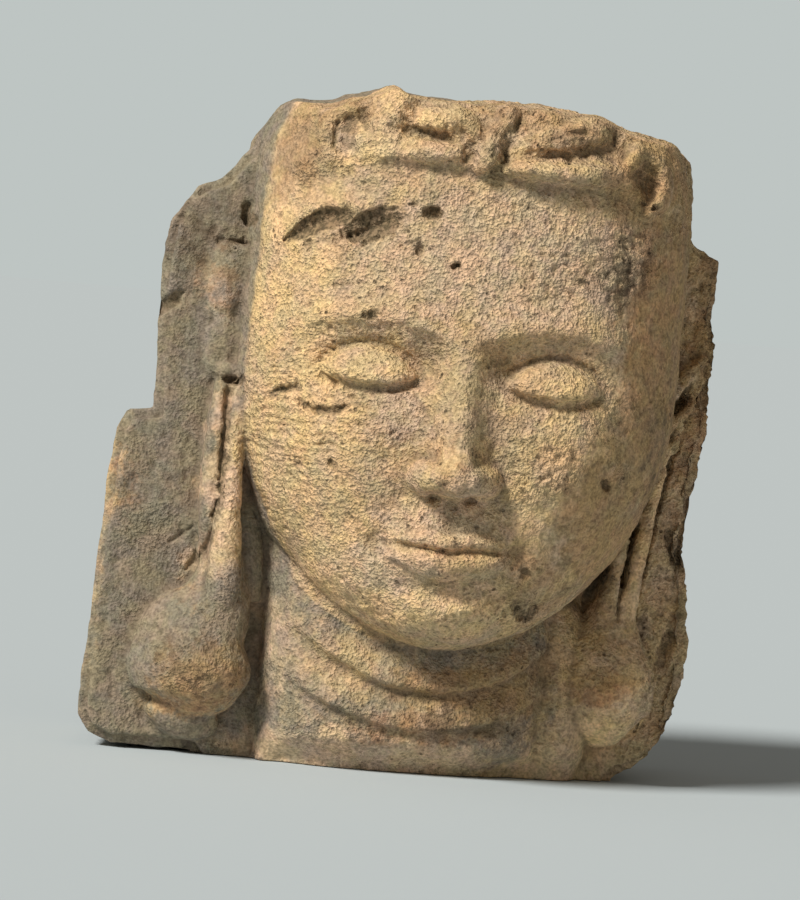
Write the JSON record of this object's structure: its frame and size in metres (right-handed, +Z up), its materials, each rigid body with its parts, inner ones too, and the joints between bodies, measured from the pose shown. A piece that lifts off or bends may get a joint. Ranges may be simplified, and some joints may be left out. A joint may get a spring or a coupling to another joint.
{
  "type": "stone head sculpture",
  "caption": "Weathered sandstone head in high relief on a broken building block, with curled hair, stretched ear lobes and heavy drop pendants; sawn-flat back and flat bed.",
  "frame": {"origin": "on the flat bed, below the middle of the block", "axes": "+Z up, +Y out of the sawn-flat back, so the face looks towards -Y, and +X to the right of someone who faces it"},
  "size_m": [0.3123, 0.2017, 0.3423],
  "materials": {
    "sandstone": "rough, porous and weathered"
  },
  "bodies": {
    "root": {"stone_head": "sandstone"}
  },
  "joints": []
}
